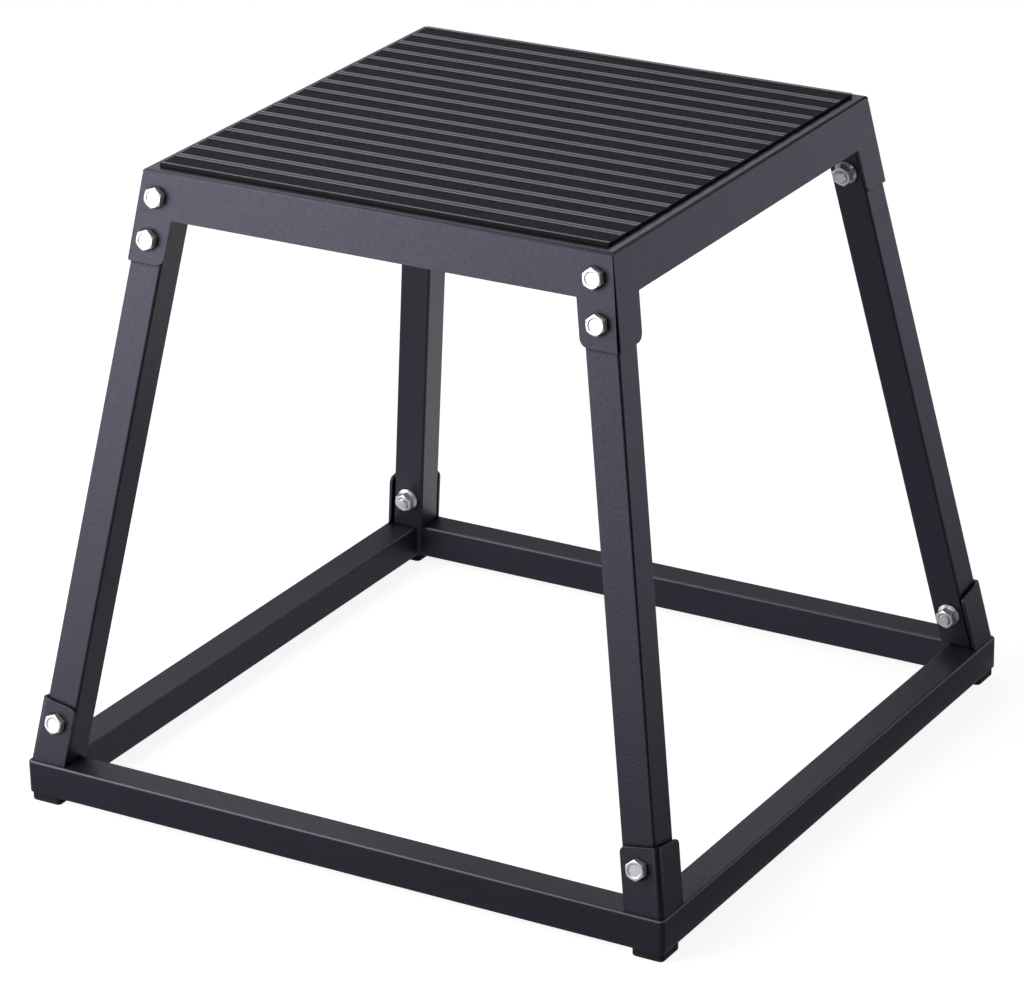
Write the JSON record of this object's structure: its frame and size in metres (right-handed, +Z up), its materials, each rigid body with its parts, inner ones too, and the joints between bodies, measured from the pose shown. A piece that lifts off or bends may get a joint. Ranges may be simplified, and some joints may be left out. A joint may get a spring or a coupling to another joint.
{
  "type": "plyo box",
  "caption": "Pyramid plyo box: ribbed rubber tread on a folded steel deck, bolted to splayed square-tube legs that stand in corner sockets on a mitred base frame with rubber pads.",
  "frame": {"origin": "on the floor, under the middle of the deck", "axes": "+X to the right along the front, +Y to the rear, +Z up"},
  "size_m": [0.508, 0.508, 0.46],
  "materials": {
    "powder_coat": "satin black powder coat",
    "tread_rubber": "matte black ribbed rubber, worn a little lighter on the ribs",
    "foot_rubber": "matte black moulded rubber",
    "zinc_plate": "bright zinc plating"
  },
  "bodies": {
    "root": {"deck_pan": "powder_coat", "tread_mat": "tread_rubber", "leg_front_right": "powder_coat", "leg_front_left": "powder_coat", "leg_rear_right": "powder_coat", "leg_rear_left": "powder_coat", "leg_socket_front_right": "powder_coat", "leg_socket_front_left": "powder_coat", "leg_socket_rear_right": "powder_coat", "leg_socket_rear_left": "powder_coat", "base_rail_front": "powder_coat", "base_rail_right": "powder_coat", "base_rail_rear": "powder_coat", "base_rail_left": "powder_coat", "foot_front_right": "foot_rubber", "foot_front_left": "foot_rubber", "foot_rear_right": "foot_rubber", "foot_rear_left": "foot_rubber", "deck_bolts": "zinc_plate", "deck_nuts": "zinc_plate", "base_bolts": "zinc_plate", "base_nuts": "zinc_plate"}
  },
  "joints": []
}
